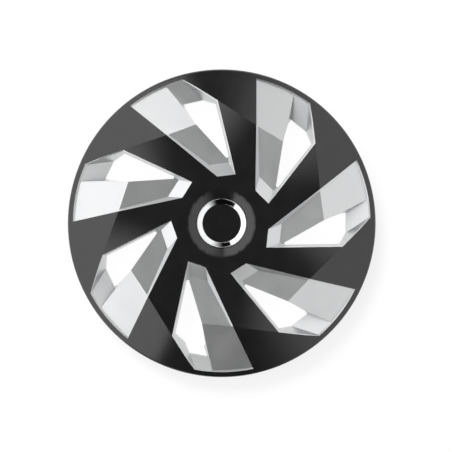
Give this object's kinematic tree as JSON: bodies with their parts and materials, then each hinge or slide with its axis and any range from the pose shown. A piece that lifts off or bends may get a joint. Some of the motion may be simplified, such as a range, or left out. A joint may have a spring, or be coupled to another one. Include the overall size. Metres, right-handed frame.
{
  "type": "hubcap",
  "caption": "Round wheel trim with folded swirl blades, recessed silver windows, a bright hub ring and spring wire clips behind.",
  "frame": {"origin": "on the axle line, level with the tips of the rear clips", "axes": "+Z along the axle towards the viewer, +X through no particular feature: the first window's axis is 10 degrees round from it towards +Y"},
  "size_m": [0.4, 0.4, 0.055],
  "materials": {
    "cover_black": "satin black lacquer over moulded plastic",
    "window_silver": "silver metallic paint in the window recesses",
    "bezel_chrome": "bright plated",
    "wire_steel": "zinc plated spring wire"
  },
  "bodies": {
    "root": {"cover": "cover_black", "bezel": "bezel_chrome", "retaining_wire": "wire_steel"}
  },
  "joints": []
}
